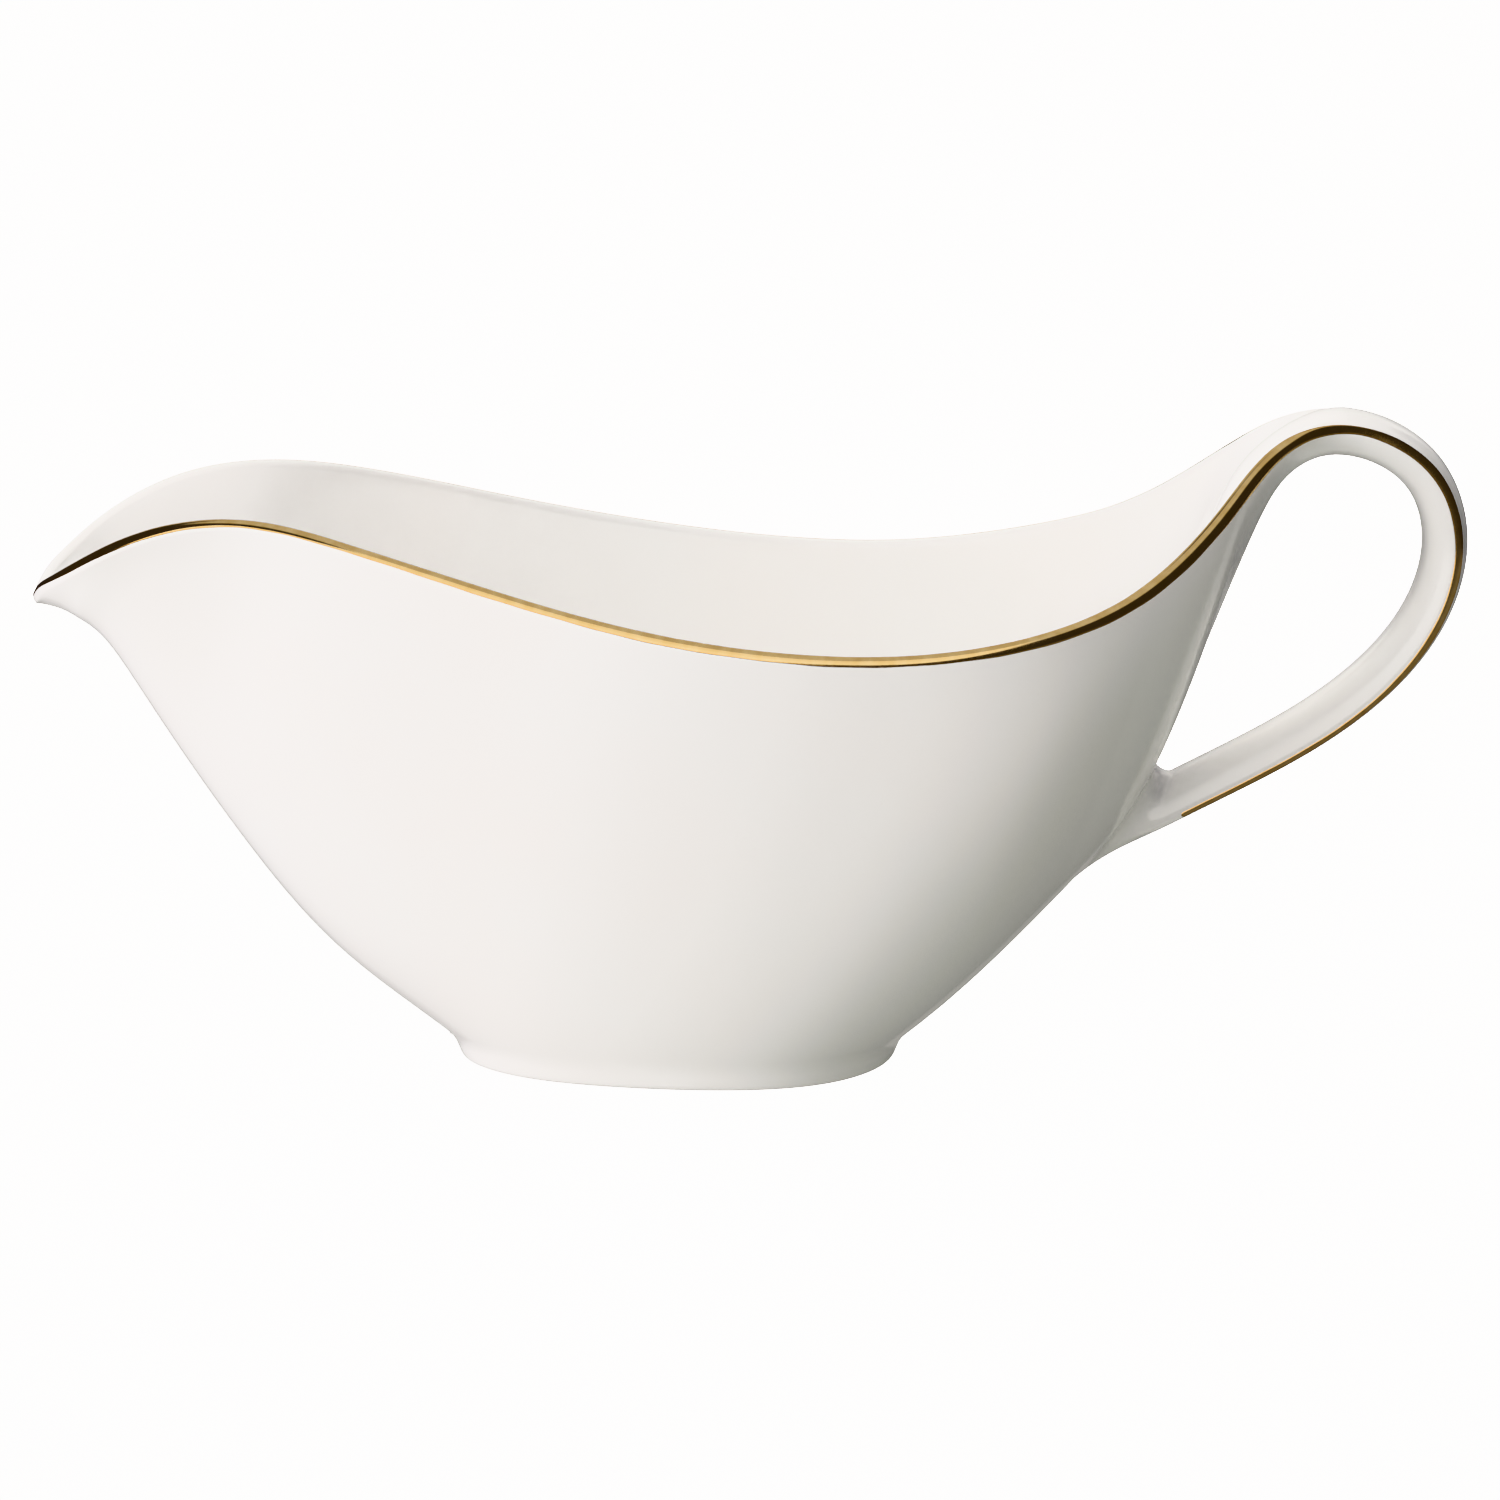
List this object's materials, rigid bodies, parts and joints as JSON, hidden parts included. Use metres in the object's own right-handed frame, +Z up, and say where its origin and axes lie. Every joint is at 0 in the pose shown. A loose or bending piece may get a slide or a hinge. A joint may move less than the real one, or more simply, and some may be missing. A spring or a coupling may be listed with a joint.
{
  "type": "gravy boat",
  "caption": "Fired china gravy boat with a drawn-out pouring spout, a strap handle arching out of the rim, an oval foot ring and a gold line along its edges.",
  "frame": {"origin": "middle of the overall box at the surface the foot stands on", "axes": "-X towards the spout, +X towards the handle, +Z up, the shape the same on both sides of Y = 0"},
  "size_m": [0.239, 0.0894, 0.1116],
  "materials": {
    "glazed_china": "clear gloss glaze over warm white china",
    "foot_china": "gloss glaze, with the standing edge left unglazed and finely ground",
    "gold_line": "burnished gold decoration fired on the glaze"
  },
  "bodies": {
    "root": {"bowl": "glazed_china", "handle": "glazed_china", "foot_ring": "foot_china", "gold_rim_line": "gold_line", "gold_handle_line_left": "gold_line", "gold_handle_line_right": "gold_line"}
  },
  "joints": []
}
